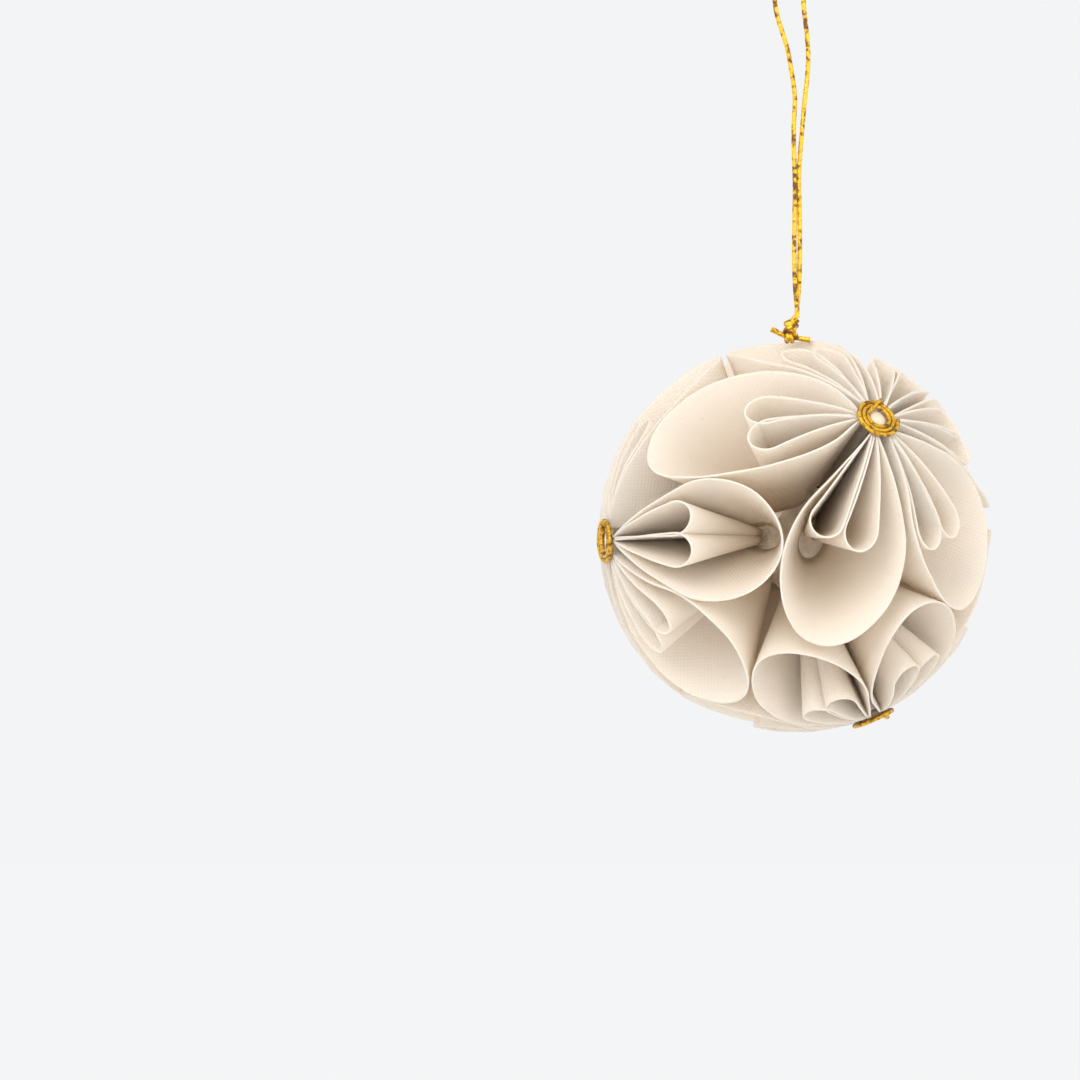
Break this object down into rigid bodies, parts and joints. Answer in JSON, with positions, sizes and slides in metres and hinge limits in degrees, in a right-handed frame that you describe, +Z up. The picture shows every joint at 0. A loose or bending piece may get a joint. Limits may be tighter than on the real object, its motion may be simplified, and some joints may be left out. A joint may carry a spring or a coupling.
{
  "type": "hanging folded paper ball",
  "caption": "Hanging ornament ball of folded paper discs gathered into open-petalled flowers, with a coil of gold cord on each flower and a knotted gold cord loop on top.",
  "frame": {"origin": "inside top of the hanging loop, where a hook or twig carries it", "axes": "+Z up; the picture looks along +Y with +X to the right"},
  "size_m": [0.0756, 0.0748, 0.1433],
  "materials": {
    "paper": "matt ivory paper with a fine woven grain",
    "gold_cord": "thin cord wrapped in gold metallic thread"
  },
  "bodies": {
    "root": {"petal_front_1": "paper", "petal_front_2": "paper", "petal_front_3": "paper", "petal_front_4": "paper", "petal_front_5": "paper", "petal_front_6": "paper", "petal_left_1": "paper", "petal_left_2": "paper", "petal_left_3": "paper", "petal_left_4": "paper", "petal_left_5": "paper", "petal_left_6": "paper", "petal_under_1": "paper", "petal_under_2": "paper", "petal_under_3": "paper", "petal_under_4": "paper", "petal_under_5": "paper", "petal_under_6": "paper", "petal_back_1": "paper", "petal_back_2": "paper", "petal_back_3": "paper", "petal_back_4": "paper", "petal_back_5": "paper", "petal_back_6": "paper", "coil_front": "gold_cord", "coil_left": "gold_cord", "coil_under": "gold_cord", "coil_back": "gold_cord", "hanging_loop": "gold_cord", "hanging_knot": "gold_cord"}
  },
  "joints": []
}
